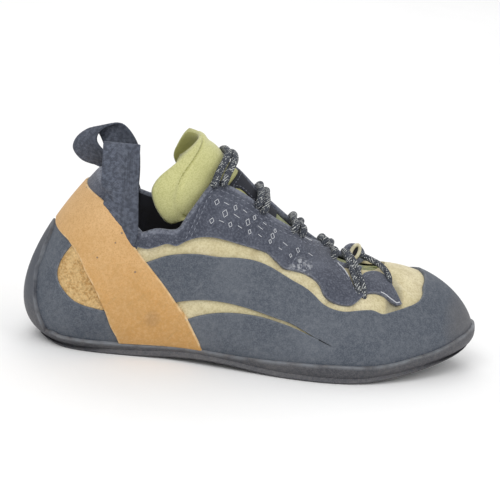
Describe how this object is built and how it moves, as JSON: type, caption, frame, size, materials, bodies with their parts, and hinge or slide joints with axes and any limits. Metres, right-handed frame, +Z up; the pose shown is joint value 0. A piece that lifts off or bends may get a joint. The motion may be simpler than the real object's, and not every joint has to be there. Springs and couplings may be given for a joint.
{
  "type": "climbing shoe",
  "caption": "Right lace-up climbing shoe: leather upper, rubber rand and sole wrapped over the heel, heel strap, padded tongue, lace and pull loops.",
  "frame": {"origin": "on the floor at the heel's flat spot, on the shoe's middle plane at the heel", "axes": "+X from heel to toe, +Y to the inner side of the foot, +Z up"},
  "size_m": [0.2577, 0.0944, 0.1204],
  "materials": {
    "leather": "nubuck, pale yellow, worn",
    "sole_rubber": "smooth rubber, dusty",
    "rand_rubber": "matte slate rubber, dusty and scuffed",
    "sling_rubber": "matte tan rubber",
    "patch_rubber": "mottled amber rubber",
    "microfibre": "brushed microfibre",
    "tongue_fabric": "padded knit",
    "label": "flat woven patch",
    "webbing": "flat woven webbing",
    "lace_cord": "round braid with pale flecks",
    "board": "plain board"
  },
  "bodies": {
    "root": {"upper": "leather", "outsole": "sole_rubber", "insole": "board", "tongue": "tongue_fabric", "rand": "rand_rubber", "sling": "sling_rubber", "heel_rand_outer": "rand_rubber", "heel_rand_inner": "rand_rubber", "heel_patch_outer": "patch_rubber", "heel_patch_inner": "patch_rubber", "quarter_outer": "microfibre", "quarter_inner": "microfibre", "eyelet_tab": "microfibre", "tongue_label": "label", "pull_loop_outer": "webbing", "pull_loop_inner": "webbing", "lace": "lace_cord"}
  },
  "joints": []
}
